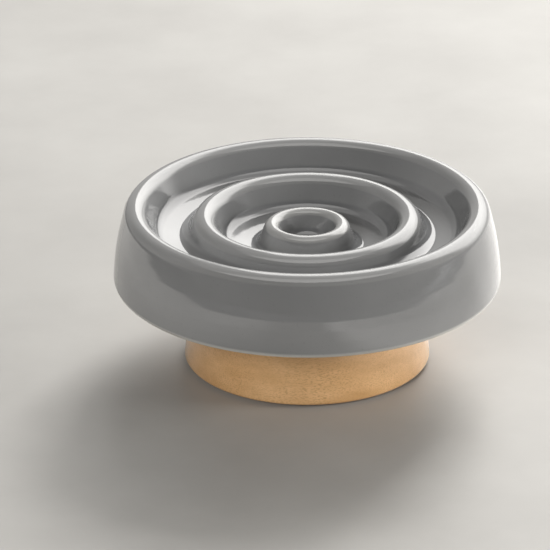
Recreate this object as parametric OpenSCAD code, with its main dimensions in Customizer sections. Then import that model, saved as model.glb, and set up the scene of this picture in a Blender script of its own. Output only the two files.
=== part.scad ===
// A slow feeder bowl on a stand. The glazed ceramic bowl has a flared skirt, a round rim and
// two round-topped rings that stand up from its dished floor, so that food lies in channels.
// Its foot ring sits on a soft ring in the top of a turned beech stand, and lifts off to be
// washed. The stand rests on soft pads. Sizes are in millimetres, +Z is up, and the origin is
// on the floor under the middle of the stand.

/* [Bowl] */
// Radius of the skirt at its lower edge
skirt_r = 100; // [95:0.5:110]
// How far the skirt hangs below the level at which the bowl is carried
skirt_hang = 10.4; // [7:0.2:14]
// Slope of the outer wall away from upright near the lower edge, in degrees
skirt_low_lean = 3; // [1:0.5:5]
// Slope of the outer wall away from upright under the rim, in degrees
skirt_high_lean = 14.5; // [12:0.5:17]
// Height above the lower edge at which the two slopes of the outer wall meet
skirt_bend_up = 17; // [16:0.5:20]
// Radius of the long curve between those two slopes
skirt_bend_round = 130; // [60:5:135]
// Round on both edges of the skirt's lower end
skirt_edge_round = 2.4; // [1:0.2:2.6]
// Wall thickness of the ceramic
wall = 6; // [5:0.5:7]
// Radius of the rim's round top
rim_round = 6.1; // [5:0.1:7]
// Slope of the rim's inner side away from upright, in degrees
rim_in_lean = 26; // [22:1:30]
// Slope of the skirt's inner side away from upright, in degrees
skirt_in_lean = 6; // [4:0.5:7]

/* [Rings] */
// Radius of the outer ring's crest
outer_ring_r = 52.8; // [50:0.2:55]
// Drop of the outer ring's crest below the rim
outer_ring_drop = 5.3; // [4:0.1:7]
// Radius of the outer ring's round top
outer_ring_round = 6.3; // [5:0.1:7]
// Radius of the inner ring's crest
inner_ring_r = 18.2; // [17:0.2:20]
// Drop of the inner ring's crest below the rim
inner_ring_drop = 10.1; // [9:0.1:12]
// Radius of the inner ring's round top
inner_ring_round = 4.1; // [3.5:0.1:4.5]
// Slope of the rings' sides away from upright, in degrees
ring_lean = 20; // [16:1:24]

/* [Floor of the bowl] */
// Drop of the dished floor below the rim, where it meets the rim's inner side
dish_drop = 14.6; // [13.4:0.1:15.2]
// Fall of the dished floor towards the middle, in degrees
dish_fall = 9.3; // [8:0.1:10.4]
// Depth of the bowl, from the rim's crest down to the floor of the well in its middle
well_drop = 22.6; // [22:0.1:24]
// Fillet between the floor and the sides of the channels
channel_fillet = 6; // [4:0.2:6.4]
// Fillet at the foot of the inner ring's outer side
inner_ring_fillet = 4.6; // [3:0.2:6]
// Round at the top of the relief groove behind the outer ring
relief_round = 2.2; // [1.5:0.1:3]
// Round where the relief groove opens into the underside
relief_mouth_round = 1.5; // [0.5:0.1:2]

/* [Foot ring] */
// Outer radius of the foot ring under the bowl
foot_ring_r = 42; // [40:0.5:43.5]
// Width of the foot ring
foot_ring_w = 7; // [5:0.5:8]
// Height of the foot ring's flat end above the floor, the level at which the bowl is carried
seat_z = 55; // [53:0.5:60]
// Height of the underside's middle above the foot ring's flat end
under_rise = 1.8; // [1:0.1:3]
// Round on the edges of the foot ring's flat end
foot_ring_round = 1; // [0.5:0.1:2]
// Fillet where the foot ring grows out of the underside
foot_ring_fillet = 2.4; // [1:0.1:3]

/* [Stand] */
// Radius of the stand at its foot
stand_foot_r = 63.8; // [60:0.2:68]
// Radius of the stand at its top
stand_top_r = 56; // [52:0.5:59]
// Height of the stand's lip round the foot ring, above the level at which the bowl is carried
seat_lip = 2; // [1.4:0.2:2.4]
// Lean of the stand's side near its foot, in degrees
stand_foot_lean = 6; // [4:0.5:7]
// Radius of the slow swell between the foot and the top of the stand's side
stand_side_round = 160; // [80:10:240]
// Round on the stand's lower edge
stand_foot_round = 1.4; // [0.6:0.1:2]
// Round on the stand's upper edge
stand_top_round = 3; // [1:0.2:5]
// Depth of the shallow hollow turned in the stand's underside
under_hollow_depth = 3; // [1:0.2:5]
// Width of the flat rim that is left round that hollow
under_rim_w = 19; // [16:0.5:24]

/* [Soft parts] */
// Thickness of the soft ring that the bowl sits on
seat_ring_t = 2; // [1.5:0.1:3]
// Width of the soft ring, a little more than the foot ring's
seat_ring_w = 8.5; // [7.5:0.1:10]
// Round on the soft ring's edges
seat_ring_round = 0.5; // [0.2:0.1:0.8]
// Gap between the foot ring and the wall of its seat in the stand
seat_gap = 0.8; // [0.5:0.1:1.5]
// Gap between the soft ring and the wall of the seat
seat_ring_gap = 0.3; // [0.1:0.1:0.5]
// Number of pads under the stand
pads = 4; // [4]
// Radius of a pad
pad_r = 6; // [4:0.5:7]
// Thickness of a pad
pad_t = 3; // [2:0.1:4]
// How far a pad stands out below the stand
pad_proud = 1.2; // [0.8:0.1:1.6]
// Round on a pad's lower edge
pad_round = 0.6; // [0.2:0.1:1]
// Gap between a pad and the wall of its pocket
pad_gap = 0.2; // [0.1:0.1:0.4]

/* [Hidden] */
$fn = 144;
// Overrun of a cut past the face it opens
over = 1;
// Largest turn between two points of an arc, in degrees
arc_step = 12;
// Share of a side that the round at one of its ends may take
side_share = 0.8;

glaze_colour = [0.47, 0.47, 0.47];
beech_colour = [0.80, 0.62, 0.42];
silicone_colour = [0.72, 0.72, 0.70];

// Lines are pairs of a point and a direction. meet gives the point where two of them cross.
function cross2(a, b) = a[0] * b[1] - a[1] * b[0];
function meet(m, n) = m[0] + m[1] * cross2(n[0] - m[0], n[1]) / cross2(m[1], n[1]);
function unit(v) = v / norm(v);

// The side of a round crest that leans away from upright: side 1 faces outwards, -1 inwards
function crest_side(centre, round, lean, side) =
    [centre + round * [side * cos(lean), sin(lean)], [side * sin(lean), -cos(lean)]];

// Heights build up from the seat: the foot ring, the floor of the well, then the rim
under_middle_z = seat_z + under_rise;
rim_z = under_middle_z + wall + well_drop;
skirt_z = seat_z - skirt_hang;

// Outer wall of the skirt: a steep line from the lower edge and a flatter one above it, with
// the crest circle of the rim laid against the flatter one
skirt_edge = [skirt_r, skirt_z];
skirt_low_line = [skirt_edge, [-sin(skirt_low_lean), cos(skirt_low_lean)]];
skirt_bend = meet(skirt_low_line, [[0, skirt_z + skirt_bend_up], [1, 0]]);
skirt_up = [-sin(skirt_high_lean), cos(skirt_high_lean)];
skirt_high_line = [skirt_bend, skirt_up];
// Going in from that line by the crest's radius gives the line on which its centre lies
rim_in = -rim_round * [cos(skirt_high_lean), sin(skirt_high_lean)];
rim_centre = meet([skirt_bend + rim_in, skirt_up], [[0, rim_z - rim_round], [1, 0]]);

// Centres of the crest circles of the two rings
outer_ring_centre = [outer_ring_r, rim_z - outer_ring_drop - outer_ring_round];
inner_ring_centre = [inner_ring_r, rim_z - inner_ring_drop - inner_ring_round];

// The dished floor, a straight fall from the foot of the rim's inner side
rim_inside = crest_side(rim_centre, rim_round, rim_in_lean, -1);
dish_start = meet(rim_inside, [[0, rim_z - dish_drop], [1, 0]]);
dish_way = [cos(dish_fall), sin(dish_fall)];
dish_line = [dish_start, dish_way];
well_line = [[0, rim_z - well_drop], [1, 0]];

outer_ring_out = crest_side(outer_ring_centre, outer_ring_round, ring_lean, 1);
outer_ring_in = crest_side(outer_ring_centre, outer_ring_round, ring_lean, -1);
inner_ring_out = crest_side(inner_ring_centre, inner_ring_round, ring_lean, 1);
inner_ring_in = crest_side(inner_ring_centre, inner_ring_round, ring_lean, -1);

// Underside: the wall's thickness below the dished floor, and a plain cone inside the skirt
under_line = [dish_start - wall * [-sin(dish_fall), cos(dish_fall)], dish_way];
skirt_in_line = [skirt_edge - [wall / cos(skirt_in_lean), 0], [-sin(skirt_in_lean), cos(skirt_in_lean)]];
foot_ring_in_r = foot_ring_r - foot_ring_w;
// The foot ring's inner side is low, and its two rounds share it
foot_ring_in_round = min(foot_ring_round, under_rise / 2);

// Relief groove behind the outer ring, so that the clay is about as thick there as elsewhere
relief_centre = [outer_ring_r, rim_z - outer_ring_drop - wall - relief_round];
relief_out = crest_side(relief_centre, relief_round, ring_lean, 1);
relief_in = crest_side(relief_centre, relief_round, ring_lean, -1);

// A corner of an outline, drawn as an arc of its round that touches both of its sides. Where a
// side is short, the round is as large as the side leaves room for.
function corner_arc(before, corner, after, round) =
    let(back = unit(before - corner), ahead = unit(after - corner),
        half = acos(back * ahead) / 2,
        room = side_share * min(norm(before - corner), norm(after - corner)),
        r = min(round, room * tan(half)),
        centre = corner + unit(back + ahead) * r / sin(half),
        from = back * r / tan(half) + corner - centre,
        start = atan2(from[1], from[0]),
        turn = (180 - 2 * half) * sign(cross2(corner - before, after - corner)),
        steps = ceil(abs(turn) / arc_step) + 1)
    [for (i = [0 : steps]) centre + r * [cos(start + turn * i / steps), sin(start + turn * i / steps)]];

// An outline from its corners, each a point and the round that it gets, anticlockwise
function outline(corners) =
    let(n = len(corners))
    [for (i = [0 : n - 1])
        each corners[i][1] == 0 ? [corners[i][0]]
            : corner_arc(corners[(i + n - 1) % n][0], corners[i][0],
                         corners[(i + 1) % n][0], corners[i][1])];

// Corners of half the bowl's section: the outer wall, the rim, the rings, then the underside
bowl_corners = [
    [skirt_edge, skirt_edge_round],
    [skirt_bend, skirt_bend_round],
    [meet(skirt_high_line, rim_inside), rim_round],
    [dish_start, channel_fillet],
    [meet(dish_line, outer_ring_out), channel_fillet],
    [meet(outer_ring_out, outer_ring_in), outer_ring_round],
    [meet(outer_ring_in, dish_line), channel_fillet],
    [meet(dish_line, inner_ring_out), inner_ring_fillet],
    [meet(inner_ring_out, inner_ring_in), inner_ring_round],
    [meet(inner_ring_in, well_line), channel_fillet],
    [[0, rim_z - well_drop], 0],
    [[0, under_middle_z], 0],
    [[foot_ring_in_r, under_middle_z], foot_ring_in_round],
    [[foot_ring_in_r, seat_z], foot_ring_in_round],
    [[foot_ring_r, seat_z], foot_ring_round],
    [meet([[foot_ring_r, 0], [0, 1]], under_line), foot_ring_fillet],
    [meet(under_line, relief_in), relief_mouth_round],
    [meet(relief_in, relief_out), relief_round],
    [meet(relief_out, under_line), relief_mouth_round],
    [meet(under_line, skirt_in_line), channel_fillet],
    [skirt_in_line[0], skirt_edge_round]
];

// Stand: the side leans in from the foot, swells slowly and ends in the top's radius
stand_z = pad_proud;
stand_top_z = seat_z + seat_lip;
stand_side_low = [[stand_foot_r, stand_z], [-sin(stand_foot_lean), cos(stand_foot_lean)]];
stand_side_knee = meet(stand_side_low, [[0, (stand_z + stand_top_z) / 2], [1, 0]]);
seat_r = foot_ring_r + seat_gap;
seat_floor_z = seat_z - seat_ring_t;
under_hollow_r = stand_foot_r - under_rim_w;
stand_corners = [
    [[stand_foot_r, stand_z], stand_foot_round],
    [stand_side_knee, stand_side_round],
    [[stand_top_r, stand_top_z], stand_top_round],
    [[seat_r, stand_top_z], foot_ring_round],
    [[seat_r, seat_floor_z], 0],
    [[0, seat_floor_z], 0],
    [[0, stand_z + under_hollow_depth], 0],
    [[under_hollow_r, stand_z + under_hollow_depth], under_hollow_depth / 2],
    [[under_hollow_r, stand_z], foot_ring_round]
];

seat_ring_r = seat_r - seat_ring_gap;
seat_ring_hole_r = seat_ring_r - seat_ring_w;
seat_ring_corners = [
    [[seat_ring_hole_r, seat_floor_z], seat_ring_round],
    [[seat_ring_r, seat_floor_z], seat_ring_round],
    [[seat_ring_r, seat_z], seat_ring_round],
    [[seat_ring_hole_r, seat_z], seat_ring_round]
];

// Pads lie in round pockets in the middle of the stand's flat lower rim
pad_ring_r = stand_foot_r - under_rim_w / 2;
pad_pocket_r = pad_r + pad_gap;
function pad_turn(i) = 360 / pads * (i + 1 / 2);
pad_corners = [[[0, 0], 0], [[pad_r, 0], pad_round], [[pad_r, pad_t], 0], [[0, pad_t], 0]];

module feeder_bowl() {
    color(glaze_colour) rotate_extrude() polygon(outline(bowl_corners));
}

module stand() {
    color(beech_colour) difference() {
        rotate_extrude() polygon(outline(stand_corners));
        for (i = [0 : pads - 1])
            rotate([0, 0, pad_turn(i)]) translate([pad_ring_r, 0, stand_z - over])
                cylinder(r = pad_pocket_r, h = over + pad_t - pad_proud);
    }
}

module seat_ring() {
    color(silicone_colour) rotate_extrude() polygon(outline(seat_ring_corners));
}

module foot_pad(i) {
    color(silicone_colour) rotate([0, 0, pad_turn(i)]) translate([pad_ring_r, 0, 0])
        rotate_extrude() polygon(outline(pad_corners));
}

feeder_bowl();
stand();
seat_ring();
foot_pad(0);  // foot_pad_1
foot_pad(1);  // foot_pad_2
foot_pad(2);  // foot_pad_3
foot_pad(3);  // foot_pad_4
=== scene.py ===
# %% [markdown]
# # A slow feeder bowl on a turned stand
#
# This lesson dresses a bowl that keeps a pet from eating too fast. The food lies in ring-shaped
# channels between low round walls. Three finishes make the picture: a glossy grey glaze, an
# oiled beech stand, and the matt silicone that keeps both from sliding.
#
# The measured model is loaded first. Its stand stays as it is and only gets its wood, while the
# bowl and the soft parts are turned again with finer surfaces in the same places. All pieces
# are in metres, upright along Z, and stand on the plane z = 0.

# %% Load the measured model
import math

import bpy
import numpy as np
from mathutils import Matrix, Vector


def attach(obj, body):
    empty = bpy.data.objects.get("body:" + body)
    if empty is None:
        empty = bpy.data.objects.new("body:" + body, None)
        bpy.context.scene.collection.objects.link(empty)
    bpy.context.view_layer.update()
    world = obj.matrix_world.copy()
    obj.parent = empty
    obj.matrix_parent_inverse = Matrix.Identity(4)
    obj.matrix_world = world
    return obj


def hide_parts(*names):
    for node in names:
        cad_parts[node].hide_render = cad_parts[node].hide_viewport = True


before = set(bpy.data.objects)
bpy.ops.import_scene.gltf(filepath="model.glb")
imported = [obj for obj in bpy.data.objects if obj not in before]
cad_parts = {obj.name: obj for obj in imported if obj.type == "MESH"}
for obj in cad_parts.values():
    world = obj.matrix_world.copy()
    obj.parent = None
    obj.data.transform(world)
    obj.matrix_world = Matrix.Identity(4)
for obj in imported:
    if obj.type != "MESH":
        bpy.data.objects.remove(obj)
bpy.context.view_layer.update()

# %% [markdown]
# ## Surfaces of revolution
#
# The potter's wheel and the lathe make one kind of surface: a profile turned about an axis. So
# one function serves for every round piece here. A spin modifier could do it too, but with the
# arithmetic written out we also know the exact normal at each point, and glossy glaze shows
# every error of a normal as a kink in its reflections.
#
# A profile is first listed as corners, each with the radius of its round, as a maker draws it.
# Every corner then becomes an arc that touches both of its sides.

# %% Corners become a profile
MM = 0.001
ARC_STEP = math.radians(3)
SIDE_SHARE = 0.8  # the most of a side that the round at one of its ends may take


def unit(v):
    """The vector v divided by its length."""
    return v / np.linalg.norm(v)


def cross(u, v):
    """The area that two flat vectors span, above 0 where v points to the left of u."""
    return u[0] * v[1] - u[1] * v[0]


def meet(point_a, way_a, point_b, way_b):
    """Where two lines cross: go from point_a along way_a by the share that closes the gap."""
    gap = np.subtract(point_b, point_a)
    return point_a + np.asarray(way_a) * cross(gap, way_b) / cross(way_a, way_b)


def corner_arc(before, corner, after, radius):
    """Points of the arc of this radius that touches both sides of a corner.

    Its centre lies on the line that halves the corner, radius / sin(half the corner) away."""
    back, ahead = unit(before - corner), unit(after - corner)
    half = math.acos(np.clip(back @ ahead, -1, 1)) / 2
    room = SIDE_SHARE * min(np.linalg.norm(before - corner), np.linalg.norm(after - corner))
    radius = min(radius, room * math.tan(half))
    centre = corner + unit(back + ahead) * radius / math.sin(half)
    start = corner + back * radius / math.tan(half) - centre
    turn = (math.pi - 2 * half) * np.sign(cross(corner - before, after - corner))
    steps = np.linspace(0, 1, int(abs(turn) / ARC_STEP) + 3)
    angle = math.atan2(start[1], start[0]) + turn * steps
    return centre + radius * np.stack([np.cos(angle), np.sin(angle)], 1)


def rounded(corners, closed=False):
    """The outline through a list of (point, radius): a corner of radius 0 stays one point."""
    points = [np.asarray(p, float) for p, _ in corners]
    count = len(points)
    parts = []
    for k, (_, radius) in enumerate(corners):
        if radius == 0 or (not closed and k in (0, count - 1)):
            parts.append(points[k][None])
        else:
            parts.append(corner_arc(points[k - 1], points[k], points[(k + 1) % count], radius))
    return np.concatenate(parts)


print("a square corner gets", len(rounded([([0, 0], 0), ([9, 0], 2), ([9, 9], 0)])) - 2, "points")

# %% [markdown]
# Melted glaze has no sudden change of curvature, but a chain of lines and arcs has. So the
# profile is sampled finely, blurred a little along its length, and sampled again with more
# points where it turns and fewer where it runs straight. A subdivision modifier would smooth it
# as well, but it pulls a profile farther away from its measured sizes.

# %% Soften a profile and spread its points
def resample(line, at):
    """Points of a polyline at the given distances along it, read off by linear interpolation."""
    length = np.r_[0, np.cumsum(np.linalg.norm(np.diff(line, axis=0), axis=1))]
    return np.stack([np.interp(at, length, line[:, k]) for k in (0, 1)], 1)


def blurred(dense, width, step):
    """A polyline with a point every step, averaged under a Gaussian bell of this width.

    Past each end it goes on as its own mirror image through that end, so the ends stay."""
    reach = int(4 * width / step)
    bell = np.exp(-0.5 * (np.arange(-reach, reach + 1) * step / width) ** 2)
    before = 2 * dense[0] - dense[reach:0:-1]
    after = 2 * dense[-1] - dense[-2:-reach - 2:-1]
    long = np.concatenate([before, dense, after])
    return np.stack([np.convolve(long[:, k], bell / bell.sum(), "valid") for k in (0, 1)], 1)


def soften(line, blur, step_straight, step_turn, fine=0.05):
    """Blurs a polyline, then keeps a point for each step_straight millimetres of length and
    each step_turn radians of turn. Returns the points, their normals and their curvature.

    The heading is the angle of the way along the line, the normal points to its right, and
    the curvature is the change of the heading per millimetre."""
    total = np.linalg.norm(np.diff(line, axis=0), axis=1).sum()
    count = int(total / fine)
    smooth = blurred(resample(line, np.linspace(0, total, count)), blur, fine)
    way = np.gradient(smooth, axis=0)
    heading = np.unwrap(np.arctan2(way[:, 1], way[:, 0]))
    length = np.r_[0, np.cumsum(np.linalg.norm(np.diff(smooth, axis=0), axis=1))]
    need = length / step_straight + np.r_[0, np.cumsum(np.abs(np.diff(heading)))] / step_turn
    at = np.interp(np.linspace(0, need[-1], int(need[-1]) + 1), need, np.arange(count))

    def read(values):
        """The values at the places that are kept."""
        return np.interp(at, np.arange(count), values)

    points = np.stack([read(smooth[:, 0]), read(smooth[:, 1])], 1)
    angle = read(heading)
    return points, np.stack([np.sin(angle), -np.cos(angle)], 1), read(np.gradient(heading, length))


straight = np.array([[0.0, 0.0], [21.0, 0.0]])
print("21 mm of straight line keep", len(soften(straight, 0.5, 2.0, 1.0)[0]), "points")

# %% [markdown]
# The turned surface is a function of two parameters, the place along the profile and the angle
# about the axis. Where a profile ends on the axis, its ring shrinks to a single point, so that
# the pole is closed by one fan of triangles.

# %% Turn a profile into a mesh
def turn_about_z(pairs, angle):
    """x = r cos a, y = r sin a, z = z for every pair (r, z) and every angle a, as one array."""
    r, z = pairs[:, 0], pairs[:, 1]
    grid = [np.outer(r, np.cos(angle)), np.outer(r, np.sin(angle)), np.outer(z, np.ones(len(angle)))]
    return np.stack(grid, 2).reshape(-1, 3)


def as_piece(name, vertices, faces, directions):
    """A mesh object at the origin, with millimetres made metres and a normal for each vertex."""
    mesh = bpy.data.meshes.new(name)
    mesh.from_pydata((vertices * MM).tolist(), [], faces)
    mesh.polygons.foreach_set("use_smooth", np.ones(len(faces), bool))
    mesh.normals_split_custom_set_from_vertices(directions.tolist())
    piece = bpy.data.objects.new(name, mesh)
    bpy.context.scene.collection.objects.link(piece)
    print(name, len(vertices), "vertices,", len(faces), "faces")
    return piece


def turned(name, points, normals, around, closed=False, centre=(0, 0)):
    """The surface of revolution of points (r, z), with the outside on the right of their way.

    A closed profile makes a ring. An open one starts and ends on the axis, at the poles."""
    angle = np.linspace(0, 2 * math.pi, around, endpoint=False)
    inner = slice(None) if closed else slice(1, -1)
    vertices, directions = turn_about_z(points[inner], angle), turn_about_z(normals[inner], angle)
    ring = np.arange(len(vertices)).reshape(-1, around)
    low, high = (ring, np.roll(ring, -1, 0)) if closed else (ring[:-1], ring[1:])
    quads = np.stack([low, np.roll(low, -1, 1), np.roll(high, -1, 1), high], 2).reshape(-1, 4)
    faces = quads.tolist()
    if not closed:
        first, last = len(vertices), len(vertices) + 1
        vertices = np.concatenate([vertices, [[0, 0, points[0, 1]], [0, 0, points[-1, 1]]]])
        directions = np.concatenate([directions, [[0, 0, -1], [0, 0, 1]]])
        for pole, row in ((first, ring[0][::-1]), (last, ring[-1])):
            faces += np.stack([np.full(around, pole), row, np.roll(row, -1)], 1).tolist()
    return as_piece(name, vertices + [*centre, 0], faces, directions)


print("(1, 5) turned by 90 degrees is", turn_about_z(np.array([[1, 5]]), np.radians([90])).round(3))

# %% [markdown]
# ## The bowl
#
# The real bowl is slip-cast: one wall of clay about 6 mm thick. A skirt flares down over the
# stand, a round rim tops it, and two rings stand up from the dished floor. Heights build up
# from the seat, the level where the foot ring stands on the silicone ring.

# %% Sizes of the bowl, in millimetres and radians
WALL = 6
SEAT_Z = 55
SKIRT_R, SKIRT_HANG = 100, 10.4  # the skirt's edge, and how far it hangs below the seat
SKIRT_BEND_UP, SKIRT_BEND_ROUND = 17, 130  # the long soft bend between the skirt's two slopes
SKIRT_LOW_LEAN, SKIRT_HIGH_LEAN, SKIRT_IN_LEAN = np.radians([3, 14.5, 6])
EDGE_ROUND, RIM_ROUND = 2.4, 6.1
RIM_IN_LEAN, RING_LEAN, DISH_FALL = np.radians([26, 20, 9.3])  # leans from upright, fall from level
OUTER_RING = (52.8, 5.3, 6.3)  # its radius, its drop below the rim and its crest's round
INNER_RING = (18.2, 10.1, 4.1)
DISH_DROP, WELL_DROP = 14.6, 22.6  # the dish's outer end and the well's floor, below the rim
CHANNEL_FILLET, INNER_FILLET = 6, 4.6
FOOT_R, FOOT_W, FOOT_ROUND, FOOT_FILLET = 42, 7, 1, 2.4
UNDER_RISE = 1.8  # from the foot ring's end up to the underside within it
RELIEF_ROUND, RELIEF_MOUTH = 2.2, 1.5  # the groove behind the outer ring

SKIRT_Z = SEAT_Z - SKIRT_HANG
UNDER_Z = SEAT_Z + UNDER_RISE
WELL_Z = UNDER_Z + WALL
RIM_Z = WELL_Z + WELL_DROP
print("the skirt ends at", SKIRT_Z, "and the rim's crest is at", RIM_Z)

# %% [markdown]
# The lines of the profile are pairs of a point and a direction, and most corners are where two
# of them cross. Each crest is a circle, and its sides touch that circle and lean away. The
# corners could be typed in one by one, but then a change of one size would leave the rest.

# %% Lines of the profile
LEVEL, UPRIGHT = [1, 0], [0, 1]


def crest_side(centre, radius, lean, side):
    """The straight side of a round crest, as a point and a direction: it touches the crest's
    circle and leans away from upright, outwards for side 1 and inwards for -1."""
    touch = [side * math.cos(lean), math.sin(lean)]
    return np.add(centre, np.multiply(radius, touch)), [side * math.sin(lean), -math.cos(lean)]


def ring_sides(ring):
    """Both sides of a ring that is given by its radius, its drop below the rim and its round."""
    radius, drop, crest = ring
    return [crest_side([radius, RIM_Z - drop - crest], crest, RING_LEAN, side) for side in (1, -1)]


def lean_up(lean):
    """The direction that climbs and leans towards the axis by this angle."""
    return np.array([-math.sin(lean), math.cos(lean)])


skirt_edge = np.array([SKIRT_R, SKIRT_Z])
high_up = lean_up(SKIRT_HIGH_LEAN)
skirt_bend = meet(skirt_edge, lean_up(SKIRT_LOW_LEAN), [0, SKIRT_Z + SKIRT_BEND_UP], LEVEL)
rim_in = -RIM_ROUND * np.array([math.cos(SKIRT_HIGH_LEAN), math.sin(SKIRT_HIGH_LEAN)])
rim_centre = meet(skirt_bend + rim_in, high_up, [0, RIM_Z - RIM_ROUND], LEVEL)
rim_inside = crest_side(rim_centre, RIM_ROUND, RIM_IN_LEAN, -1)

dish_way = np.array([math.cos(DISH_FALL), math.sin(DISH_FALL)])
dish = meet(*rim_inside, [0, RIM_Z - DISH_DROP], LEVEL), dish_way
under = dish[0] - WALL * np.array([-dish_way[1], dish_way[0]]), dish_way
skirt_inside = skirt_edge - [WALL / math.cos(SKIRT_IN_LEAN), 0], lean_up(SKIRT_IN_LEAN)
outer_out, outer_in = ring_sides(OUTER_RING)
inner_out, inner_in = ring_sides(INNER_RING)
relief_out, relief_in = ring_sides((OUTER_RING[0], OUTER_RING[1] + WALL, RELIEF_ROUND))
print("the rim's crest circle is centred at", rim_centre.round(2))

# %% [markdown]
# The corner list starts under the middle, runs out along the hidden side, up the skirt, over
# the rim and the rings, and ends in the well. The relief groove behind the outer ring keeps the
# clay about as thick there as elsewhere, so that it dries without cracks.

# %% Corners of the bowl and the rounds that they get
FOOT_IN_ROUND = UNDER_RISE / 2
bowl_line = rounded([
    ([0, UNDER_Z], 0),
    ([FOOT_R - FOOT_W, UNDER_Z], FOOT_IN_ROUND),
    ([FOOT_R - FOOT_W, SEAT_Z], FOOT_IN_ROUND),
    ([FOOT_R, SEAT_Z], FOOT_ROUND),
    (meet([FOOT_R, 0], UPRIGHT, *under), FOOT_FILLET),
    (meet(*under, *relief_in), RELIEF_MOUTH),
    (meet(*relief_in, *relief_out), RELIEF_ROUND),
    (meet(*relief_out, *under), RELIEF_MOUTH),
    (meet(*under, *skirt_inside), CHANNEL_FILLET),
    (skirt_inside[0], EDGE_ROUND),
    (skirt_edge, EDGE_ROUND),
    (skirt_bend, SKIRT_BEND_ROUND),
    (meet(skirt_bend, high_up, *rim_inside), RIM_ROUND),
    (dish[0], CHANNEL_FILLET),
    (meet(*dish, *outer_out), CHANNEL_FILLET),
    (meet(*outer_out, *outer_in), OUTER_RING[2]),
    (meet(*outer_in, *dish), CHANNEL_FILLET),
    (meet(*dish, *inner_out), INNER_FILLET),
    (meet(*inner_out, *inner_in), INNER_RING[2]),
    (meet(*inner_in, [0, WELL_Z], LEVEL), CHANNEL_FILLET),
    ([0, WELL_Z], 0),
])
print("profile of", len(bowl_line), "points")

# %% [markdown]
# The mesh also keeps the profile's curvature, as an attribute with a value per vertex. The
# glaze reads it later, because melted glaze runs thin over edges and thick in hollows, and
# the pale crests also carry a painted highlight.

# %% Turn the bowl
BOWL_SEGMENTS = 256
THIN_ROUND = 2.2  # an edge of this radius or less counts as wholly thin, and gets the value 1
points, normals, bend = soften(bowl_line, blur=0.5, step_straight=2.0, step_turn=math.radians(10))
bowl = turned("glazed_bowl", points, normals, BOWL_SEGMENTS)
thinness = np.clip(bend * THIN_ROUND, -1, 1)
thinness = np.concatenate([np.repeat(thinness[1:-1], BOWL_SEGMENTS), thinness[[0, -1]]])
bowl.data.attributes.new("thin", "FLOAT", "POINT").data.foreach_set("value", thinness)
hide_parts("feeder_bowl")
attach(bowl, "bowl")

# %% [markdown]
# ## The soft parts
#
# A silicone ring lies in the stand's seat and holds the bowl's foot ring, and four pads under
# the stand hold it on the floor. Both are moulded, so every edge has a small round.
#
# The ring could be a torus pressed flat, but then it would have no flat faces to lie on. Its
# profile is closed and simple enough to stay as it is, with each normal square to the line
# between the two neighbours of its point.

# %% Seat ring
SEAT_T, SEAT_W, SEAT_OUT = 2, 8.5, 0.5  # thickness, width and reach past the foot ring
SOFT_ROUND, SEAT_SEGMENTS = 0.5, 160
seat_r, seat_low = FOOT_R + SEAT_OUT, SEAT_Z - SEAT_T
seat_line = rounded([
    ([seat_r - SEAT_W, seat_low], SOFT_ROUND),
    ([seat_r, seat_low], SOFT_ROUND),
    ([seat_r, SEAT_Z], SOFT_ROUND),
    ([seat_r - SEAT_W, SEAT_Z], SOFT_ROUND),
], closed=True)
way = np.roll(seat_line, -1, 0) - np.roll(seat_line, 1, 0)
way /= np.linalg.norm(way, axis=1)[:, None]
seat_normals = np.stack([way[:, 1], -way[:, 0]], 1)
seat = turned("silicone_seat_ring", seat_line, seat_normals, SEAT_SEGMENTS, closed=True)
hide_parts("seat_ring")
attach(seat, "base")

# %% [markdown]
# A pad is a low round button. The pin that pushes it out of its mould leaves a small dimple in
# its face, which a cylinder with a bevel wouldn't have. The pads lie in pockets in the middle
# of the flat rim under the stand, a quarter turn apart.

# %% Four pads
PADS, PAD_SEGMENTS = 4, 64
STAND_FOOT_R, STAND_RIM_W = 63.8, 19
PAD_R, PAD_T, PAD_ROUND, PAD_TOP_ROUND = 6, 3, 0.6, 0.3
DIMPLE_R, DIMPLE_DEPTH, DIMPLE_ROUND = 1.6, 0.35, 0.2
pad_line = rounded([
    ([0, DIMPLE_DEPTH], 0),
    ([DIMPLE_R, DIMPLE_DEPTH], DIMPLE_ROUND),
    ([DIMPLE_R + DIMPLE_DEPTH, 0], DIMPLE_ROUND),
    ([PAD_R, 0], PAD_ROUND),
    ([PAD_R, PAD_T], PAD_TOP_ROUND),
    ([0, PAD_T], 0),
])
pad_points, pad_normals, _ = soften(pad_line, blur=0.08, step_straight=1.5,
                                    step_turn=math.radians(12), fine=0.02)
out = STAND_FOOT_R - STAND_RIM_W / 2
pads = []
for k in range(PADS):
    turn = math.radians(360 / PADS * (k + 0.5))
    pad = turned(f"silicone_pad_{k + 1}", pad_points, pad_normals, PAD_SEGMENTS,
                 centre=(out * math.cos(turn), out * math.sin(turn)))
    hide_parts(f"foot_pad_{k + 1}")
    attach(pad, "base")
    pads.append(pad)

# %% [markdown]
# ## Finishes
#
# A finish is a small network of nodes. The first helper adds one node, sets its values and
# links the sockets that are given to its inputs, and the second starts a new finish.

# %% Add a node, start a finish
def add(tree, kind, inputs=None, **settings):
    """Adds a node. An input is given by name or number, as a value or as a socket to link."""
    node = tree.nodes.new(kind)
    for name, value in settings.items():
        setattr(node, name, value)
    for key, value in (inputs or {}).items():
        if isinstance(value, bpy.types.NodeSocket):
            tree.links.new(value, node.inputs[key])
        else:
            node.inputs[key].default_value = value
    return node


def finish_of(name):
    """A new material: itself, its node tree, its shader and the piece's own coordinates."""
    material = bpy.data.materials.new(name)
    material.use_nodes = True
    tree = material.node_tree
    shader = tree.nodes["Principled BSDF"]
    place = add(tree, "ShaderNodeTexCoord").outputs["Object"]
    return material, tree, shader, place


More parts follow.
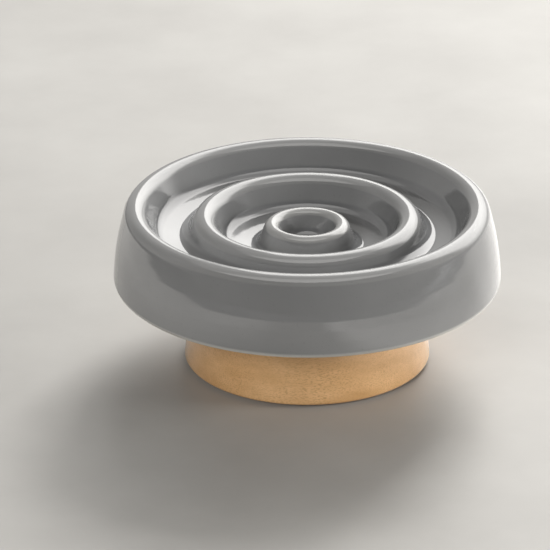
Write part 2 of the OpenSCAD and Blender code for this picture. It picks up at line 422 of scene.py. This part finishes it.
# %% [markdown]
# Most of a finish is arithmetic with values between 0 and 1, such as how thin the glaze is or
# how dark the grain. With a word for each step a network reads from top to bottom, which is
# easier to follow than a picture of wires.

# %% Words for values and colours
def noise(tree, place, scale, detail=2.0, roughness=0.5):
    """Cloudy values from 0 to 1, with clouds about 1 / scale metres wide and, by detail and
    roughness, finer clouds on them."""
    return add(tree, "ShaderNodeTexNoise", {"Vector": place, "Scale": scale, "Detail": detail,
                                            "Roughness": roughness}).outputs["Fac"]


def between(tree, value, low, high, to_low=0.0, to_high=1.0):
    """Carries low to to_low and high to to_high in a straight line, and stays there beyond."""
    return add(tree, "ShaderNodeMapRange", {"Value": value, "From Min": low, "From Max": high,
                                            "To Min": to_low, "To Max": to_high}).outputs["Result"]


def arithmetic(tree, operation, a, b):
    """One step of arithmetic on two values, by the Math node's own word for it."""
    return add(tree, "ShaderNodeMath", {0: a, 1: b}, operation=operation).outputs[0]


def plus(tree, a, b):
    """The sum a + b."""
    return arithmetic(tree, "ADD", a, b)


def minus(tree, a, b):
    """The difference a - b."""
    return arithmetic(tree, "SUBTRACT", a, b)


def times(tree, a, b):
    """The product of a and b."""
    return arithmetic(tree, "MULTIPLY", a, b)


def lay(tree, under, share, level):
    """The level laid over what is under it by a share: under + share (level - under)."""
    return plus(tree, under, times(tree, share, minus(tree, level, under)))


def blend_colour(tree, share, a, b):
    """Colour a where share is 0 and colour b where it is 1."""
    node = add(tree, "ShaderNodeMix", {"Factor": share}, data_type="RGBA")
    for socket, value in ((node.inputs[6], a), (node.inputs[7], b)):
        if isinstance(value, bpy.types.NodeSocket):
            tree.links.new(value, socket)
        else:
            socket.default_value = (*value, 1)
    return node.outputs[2]


def bump(tree, shader, height, strength, distance):
    """Tilts the shader's normal by the slopes of height, 0 to 1, times distance in metres."""
    node = add(tree, "ShaderNodeBump", {"Height": height, "Strength": strength, "Distance": distance})
    tree.links.new(node.outputs[0], shader.inputs["Normal"])


# %% [markdown]
# ### Glaze
#
# Molten glaze runs off sharp edges and gathers in hollows. So it is paler where the profile
# bends outwards and darker where it bends inwards, which the attribute "thin" tells us. The
# paler crests are partly a painted highlight too, which widens the white line of light on each
# crest. A picture wrapped round the bowl could show this too, but the attribute follows the
# shape by itself. Iron in the clay leaves a few faint specks.

# %% Colour of the fired glaze
GREY, PALER_GREY = (0.208, 0.208, 0.206), (0.225, 0.225, 0.222)
THIN_GLAZE_AND_HIGHLIGHT, THICK_GLAZE = (0.46, 0.45, 0.425), (0.17, 0.171, 0.172)
SPECK, SPECK_SHARE = (0.13, 0.13, 0.128), 0.25
glaze, tree, shader, place = finish_of("grey_glaze")
thin = add(tree, "ShaderNodeAttribute", attribute_name="thin").outputs["Fac"]
clouds = between(tree, noise(tree, place, scale=28, detail=3), 0.3, 0.7)
specks = between(tree, noise(tree, place, scale=900, detail=1), 0.68, 0.78)
fired = blend_colour(tree, clouds, GREY, PALER_GREY)
# Paler on the crests: partly thin glaze, partly a painted highlight along each crest.
fired = blend_colour(tree, between(tree, thin, 0.25, 0.9), fired, THIN_GLAZE_AND_HIGHLIGHT)
fired = blend_colour(tree, between(tree, thin, -0.05, -0.4), fired, THICK_GLAZE)
fired = blend_colour(tree, times(tree, specks, SPECK_SHARE), fired, SPECK)
print("grey_glaze has", len(tree.nodes), "nodes so far")

# %% [markdown]
# Along the skirt's lower edge the wet glaze is rubbed thin, so the clay shows there as a pale
# line, which is also a painted reflection of the light wood and floor below that edge. In the
# kiln the foot ring carries the bowl, on a raised setter, so it is wiped bare first with a
# slightly unsteady hand. Both are found by height, in the bowl's own coordinates, and the foot
# ring also by its distance from the axis.

# %% Pale edge and bare clay
RUBBED_AND_REFLECTED_EDGE, CLAY, PALER_CLAY = (0.66, 0.63, 0.57), (0.56, 0.50, 0.42), (0.68, 0.63, 0.55)
PALE_EDGE_FROM, PALE_EDGE_TO = (SKIRT_Z + 1.8) * MM, (SKIRT_Z + 0.6) * MM
WIPED_FROM, WIPED_TO = (SEAT_Z + 1.2) * MM, (SEAT_Z + 0.9) * MM
WIPED_R_FROM, WIPED_R_TO = (FOOT_R + 4.1) * MM, (FOOT_R + 3.9) * MM
UNSTEADY = 0.6 * MM
height = add(tree, "ShaderNodeSeparateXYZ", {0: place}).outputs["Z"]
flat = add(tree, "ShaderNodeVectorMath", {0: place, 1: (1, 1, 0)}, operation="MULTIPLY").outputs[0]
radius = add(tree, "ShaderNodeVectorMath", {0: flat}, operation="LENGTH").outputs["Value"]
# Pale line along the skirt's lower edge: clay under rubbed-thin glaze, partly a painted reflection of
# the wood and floor below.
fired = blend_colour(tree, between(tree, height, PALE_EDGE_FROM, PALE_EDGE_TO), fired, RUBBED_AND_REFLECTED_EDGE)
wavy = plus(tree, height, times(tree, noise(tree, place, scale=120), UNSTEADY))
bare = times(tree, between(tree, wavy, WIPED_FROM, WIPED_TO),
             between(tree, radius, WIPED_R_FROM, WIPED_R_TO))
clay = blend_colour(tree, noise(tree, place, scale=700), CLAY, PALER_CLAY)
tree.links.new(blend_colour(tree, bare, fired, clay), shader.inputs["Base Color"])
print("the pale line ends at", round(PALE_EDGE_FROM, 4), "m and the bare clay at", round(WIPED_FROM, 4))

# %% [markdown]
# The fired skin is almost a mirror, with a faint unevenness that a bump map gives. Real glazes
# bend light like glass, with an index of about 1.5 to 1.7. A little more is used here, so that
# the mirrored room is as bright as on the bowl in the photograph.

# %% Gloss
BARE_ROUGHNESS, GLAZE_INDEX = 0.85, 1.8
gloss = between(tree, noise(tree, place, scale=60), 0.3, 0.7, 0.045, 0.075)
tree.links.new(lay(tree, gloss, bare, BARE_ROUGHNESS), shader.inputs["Roughness"])
bump(tree, shader, noise(tree, place, scale=110), strength=0.06, distance=0.6 * MM)
shader.inputs["IOR"].default_value = GLAZE_INDEX
bowl.data.materials.append(glaze)
print("grey_glaze has", len(tree.nodes), "nodes")

# %% [markdown]
# ### Beech
#
# Steamed beech is pinkish tan with faint growth bands, fine streaks and countless short dark
# flecks along the grain. The stand is turned from a board that lies flat, so the bands run
# across it. Noise that a Mapping node stretches along X gives all three, and since it fills
# space as real wood does, it meets at every edge without a seam.

# %% Growth bands, streaks and flecks
DARK_BAND, PALE_BAND = (0.66, 0.37, 0.15), (0.92, 0.575, 0.28)
STREAK, FLECK = (0.66, 0.35, 0.125), (0.48, 0.24, 0.08)
STREAK_SHARE = 0.35
beech, tree, shader, place = finish_of("oiled_beech")
along = add(tree, "ShaderNodeMapping", {"Vector": place, "Rotation": (0.06, 0.22, 0.05),
                                        "Scale": (1, 3, 5)}).outputs[0]
bands = noise(tree, along, scale=18, detail=4, roughness=0.6)
wood = blend_colour(tree, between(tree, bands, 0.3, 0.72), DARK_BAND, PALE_BAND)
narrow = add(tree, "ShaderNodeMapping", {"Vector": place, "Scale": (1, 14, 14)}).outputs[0]
streaks = between(tree, noise(tree, narrow, scale=160), 0.35, 0.75)
wood = blend_colour(tree, times(tree, streaks, STREAK_SHARE), wood, STREAK)
dashes = add(tree, "ShaderNodeMapping", {"Vector": place, "Scale": (0.3, 1, 1)}).outputs[0]
flecks = between(tree, noise(tree, dashes, scale=2000, detail=1), 0.5, 0.66)
patchy = between(tree, noise(tree, place, scale=60), 0.3, 0.7, 0.2, 0.6)
wood = blend_colour(tree, times(tree, flecks, patchy), wood, FLECK)
tree.links.new(wood, shader.inputs["Base Color"])
print("oiled_beech has", len(tree.nodes), "nodes so far")

# %% [markdown]
# Hard oil soaks into the wood and leaves a thin clear coat, which pales the sides where the eye
# meets the surface at a low angle. The open grain is felt a little through it.

# %% Oil and grain
tree.links.new(between(tree, bands, 0.3, 0.7, 0.3, 0.4), shader.inputs["Roughness"])
bump(tree, shader, streaks, strength=0.15, distance=0.3 * MM)
shader.inputs["Coat Weight"].default_value = 1.0
shader.inputs["Coat Roughness"].default_value = 0.15
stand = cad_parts["stand"]
for slot in stand.material_slots:
    slot.material = beech
print("stand has", len(stand.material_slots), "material slots")

# %% [markdown]
# ### Silicone
#
# Moulded silicone is matt and slightly milky: light goes in a little way and comes out again,
# which subsurface scattering shows. Dust makes it a little paler and rougher in clouds.

# %% Silicone finish
CLEAN, DUSTY = (0.50, 0.50, 0.48), (0.60, 0.60, 0.58)
silicone, tree, shader, place = finish_of("matt_silicone")
dust = between(tree, noise(tree, place, scale=180, detail=3), 0.35, 0.7)
tree.links.new(blend_colour(tree, dust, CLEAN, DUSTY), shader.inputs["Base Color"])
tree.links.new(between(tree, dust, 0, 1, 0.5, 0.65), shader.inputs["Roughness"])
bump(tree, shader, noise(tree, place, scale=2500), strength=0.2, distance=0.1 * MM)
shader.inputs["Subsurface Weight"].default_value = 0.15
shader.inputs["Subsurface Radius"].default_value = (0.002, 0.002, 0.002)
for piece in [seat, *pads]:
    piece.data.materials.append(silicone)
print("silicone on", 1 + len(pads), "pieces")

# %% [markdown]
# ## The studio
#
# A pale floor runs far behind the object. The glaze is a mirror for the whole room, so the room
# matters more than the lamps' strength: a wide tall window behind and to the right, a pale
# ceiling, and a dark wall in front. The room is laid out by direction, with smooth steps.

# %% Steps in a direction
def step_in(tree, value, at, width):
    """Rises smoothly from 0 to 1 over this width around at, both in degrees. With a width
    below 0 it falls from 1 to 0 instead."""
    low, high = math.radians(at - width / 2), math.radians(at + width / 2)
    node = add(tree, "ShaderNodeMapRange", {"Value": value, "From Min": low, "From Max": high},
               interpolation_type="SMOOTHSTEP")
    return node.outputs["Result"]


def seen_by_mirrors(tree):
    """1 for rays that come from a reflection, and 0 for the camera's and for matt light."""
    return add(tree, "ShaderNodeLightPath").outputs["Is Glossy Ray"]


# %% [markdown]
# ### Floor
#
# The floor is a wide plane with the faint clouds of smooth plaster. The camera sees just that.
# What the glaze mirrors is more: sunlight on both sides of the bowl, mostly on the right and
# behind it, and a table edge past which the floor is darker. Is Glossy Ray keeps the two apart,
# so the picture's floor stays plain and keeps the shadow.

# %% Plain floor
PLASTER, PALER_PLASTER = (0.40, 0.386, 0.362), (0.475, 0.461, 0.433)
bpy.ops.mesh.primitive_plane_add(size=12)
floor = bpy.context.object
floor.name = "floor"
plaster, tree, shader, place = finish_of("pale_floor")
patches = between(tree, noise(tree, place, scale=9, detail=5, roughness=0.55), 0.3, 0.7)
plain = blend_colour(tree, patches, PLASTER, PALER_PLASTER)
shader.inputs["Roughness"].default_value = 0.45
floor.data.materials.append(plaster)
print("floor is", floor.dimensions.x, "m wide")

# %% [markdown]
# The sunlight that the glaze sees is a strength of emission. On the right it rises from x =
# 0.07 m and falls again farther out, on the left it is weaker and starts farther away, and a
# wedge of it lies behind, by the azimuth atan2(x, y) of each place on the floor.

# %% What the glaze sees of the floor
TABLE_FROM, TABLE_TO, PAST_TABLE = 0.62, 0.72, (0.16, 0.16, 0.16)
SUN_COLOUR, SUN_BEHIND = (1, 0.98, 0.95, 1), 0.25
spot = add(tree, "ShaderNodeSeparateXYZ", {0: place}).outputs
away = add(tree, "ShaderNodeVectorMath", {0: place}, operation="LENGTH").outputs["Value"]
table = between(tree, away, TABLE_FROM, TABLE_TO, 1, 0)
near_right = between(tree, spot["X"], 0.07, 0.14, 0, 0.65)
far_right = between(tree, spot["X"], 0.16, 0.35, 0, 0.4)
left = between(tree, spot["X"], -0.12, -0.3, 0, 0.4)
beside = minus(tree, plus(tree, near_right, left), far_right)
turn = arithmetic(tree, "ARCTAN2", spot["X"], spot["Y"])
wedge = times(tree, step_in(tree, turn, -1.5, 3), step_in(tree, turn, 80, -14))
sunlight = plus(tree, times(tree, table, beside), times(tree, wedge, SUN_BEHIND))
mirrored = seen_by_mirrors(tree)
tree.links.new(times(tree, mirrored, sunlight), shader.inputs["Emission Strength"])
shader.inputs["Emission Color"].default_value = SUN_COLOUR
beyond = times(tree, mirrored, minus(tree, 1.0, table))
tree.links.new(blend_colour(tree, beyond, plain, PAST_TABLE), shader.inputs["Base Color"])
print("pale_floor has", len(tree.nodes), "nodes")

# %% [markdown]
# ### Room
#
# The world is the rest of the room: brightness by direction. With straight behind the bowl as
# azimuth 0, azimuth = atan2(x, y) and elevation = asin(z) of the direction. The side walls are
# pale and the wall in front is dark. High up, the back wall is a little paler, and then comes
# the ceiling, which is brighter in front of the bowl. A panorama of a real room could be used
# instead, but a few steps show the same and can be moved one by one.

# %% Walls and ceiling
SIDE_WALL, FRONT_WALL = 0.6, 0.15
HIGH_BACK_WALL, HIGH_FROM = 0.7, (33, 5)
CEILING, FRONT_CEILING, CEILING_FROM = 1.1, 1.9, (53, 2)
world = bpy.data.worlds.new("room")
bpy.context.scene.world = world
world.use_nodes = True
tree = world.node_tree
way = add(tree, "ShaderNodeTexCoord").outputs["Generated"]
axes = add(tree, "ShaderNodeSeparateXYZ", {0: way}).outputs
azimuth = arithmetic(tree, "ARCTAN2", axes["X"], axes["Y"])
elevation = add(tree, "ShaderNodeMath", {0: axes["Z"]}, operation="ARCSINE").outputs[0]
room = between(tree, axes["Y"], 0.1, -0.5, SIDE_WALL, FRONT_WALL)
behind = between(tree, axes["Y"], -0.1, 0.2)
room = lay(tree, room, times(tree, behind, step_in(tree, elevation, *HIGH_FROM)), HIGH_BACK_WALL)
ceiling = between(tree, axes["Y"], 0.0, -0.15, CEILING, FRONT_CEILING)
room = lay(tree, room, step_in(tree, elevation, *CEILING_FROM), ceiling)
print("walls and ceiling take", len(tree.nodes), "nodes")

# %% [markdown]
# The window is what makes glaze look wet: its reflection is the bright patch in the channels
# and the white line on every crest. It reaches from straight behind round to the right and
# brightens with height. Its left edge is crisp and leans outwards, its sill sinks a little to
# the right, and its right side and top fade out. An area lamp would mirror as a hard square.

# %% Window
LEFT_EDGE, RIGHT_EDGE = (-1.5, 1.5), (66, 18)  # an edge's place and its width, in degrees
SILL, TOP = (6.5, 3), (54, 12)
LEAN, LEAN_ABOUT, SILL_FALL = 0.25, math.radians(25), 0.05
LOW_LEVEL, HIGH_LEVEL = 1.6, 3.9
LOW_AT, HIGH_AT = math.radians(5), math.radians(23)
leaning = times(tree, minus(tree, elevation, LEAN_ABOUT), LEAN)
from_left = step_in(tree, plus(tree, azimuth, leaning), *LEFT_EDGE)
across = minus(tree, from_left, step_in(tree, azimuth, *RIGHT_EDGE))
sinking = times(tree, azimuth, SILL_FALL)
from_sill = step_in(tree, plus(tree, elevation, sinking), *SILL)
upwards = minus(tree, from_sill, step_in(tree, elevation, *TOP))
daylight = between(tree, elevation, LOW_AT, HIGH_AT, LOW_LEVEL, HIGH_LEVEL)
room = lay(tree, room, times(tree, upwards, across), daylight)
print("window from", LEFT_EDGE[0], "to", RIGHT_EDGE[0], "degrees, up to", TOP[0])

# %% [markdown]
# Reflections see the room at its full level. On matt surfaces it only fills the shadows a
# little, by the share below, and the lamps do the rest. So the glaze and the shadow can each be
# as they are on the real bowl.

# %% Brightness of the room
ROOM_COLOUR, MATT_SHARE = (1, 0.985, 0.96, 1), 0.12
share = between(tree, seen_by_mirrors(tree), 0, 1, MATT_SHARE, 1.0)
background = tree.nodes["Background"]
tree.links.new(times(tree, room, share), background.inputs["Strength"])
background.inputs["Color"].default_value = ROOM_COLOUR
print("room has", len(tree.nodes), "nodes")

# %% [markdown]
# ### Lamps
#
# Three soft lamps shape what is not a mirror. The key stands behind, a little to the right, and
# draws the shadow forwards. One from the right side lights the stand's right end, and a fill
# from the front lifts the skirt and the wood. One lamp near the camera would be simpler, but it
# would leave the round stand flat. None shows in the glaze, which mirrors only the room and
# the floor.

# %% Lamps
def soft_lamp(name, azimuth, elevation, distance, side, watts):
    """A square lamp that faces the bowl: from the angles in degrees, its place is
    distance (sin azimuth cos elevation, cos azimuth cos elevation, sin elevation)."""
    turn, rise = math.radians(azimuth), math.radians(elevation)
    level = math.cos(rise)
    away = Vector((math.sin(turn) * level, math.cos(turn) * level, math.sin(rise)))
    data = bpy.data.lights.new(name, "AREA")
    data.size, data.energy = side, watts
    lamp = bpy.data.objects.new(name, data)
    lamp.location = away * distance
    lamp.rotation_mode = "QUATERNION"
    lamp.rotation_quaternion = away.to_track_quat("Z", "Y")
    lamp.visible_glossy = False
    lamp.visible_camera = False
    bpy.context.scene.collection.objects.link(lamp)
    print(name, "lamp at", [round(c, 2) for c in lamp.location])


soft_lamp("key", azimuth=18, elevation=29, distance=3.2, side=1.1, watts=166)
soft_lamp("side", azimuth=94, elevation=14, distance=1.5, side=0.5, watts=14)
soft_lamp("fill", azimuth=-158, elevation=27, distance=1.6, side=0.6, watts=11.5)

# %% [markdown]
# ## The camera
#
# A long lens two metres away. The middle of the rim was found in the photograph at a known
# pixel, and the camera turns so that it lands there. A shifted lens could frame it too, but
# most photographs are framed by turning, which also changes the perspective a little.

# %% Camera
FOCAL_PX, SIDE_PX, RIM_PX = 4000, 550, (307.1, 203.6)
DISTANCE, ELEVATION, SENSOR_MM = 2.05, math.radians(23.3), 36
camera_data = bpy.data.cameras.new("camera")
camera_data.sensor_width = SENSOR_MM
camera_data.lens = SENSOR_MM * FOCAL_PX / SIDE_PX
camera_data.clip_start, camera_data.clip_end = 0.05, 60
camera = bpy.data.objects.new("camera", camera_data)
back = Vector((0, -math.cos(ELEVATION), math.sin(ELEVATION)))
camera.location = Vector((0, 0, RIM_Z * MM)) + back * DISTANCE
aim = Vector((RIM_PX[0] - SIDE_PX / 2, SIDE_PX / 2 - RIM_PX[1], -FOCAL_PX)).normalized()
camera.rotation_mode = "QUATERNION"
facing = (-back).to_track_quat("-Z", "Y")
camera.rotation_quaternion = facing @ aim.rotation_difference(Vector((0, 0, -1)))
bpy.context.scene.collection.objects.link(camera)
bpy.context.scene.camera = camera
bpy.context.scene.view_settings.view_transform = "Standard"
print("lens of", round(camera_data.lens, 1), "mm at", [round(c, 3) for c in camera.location])
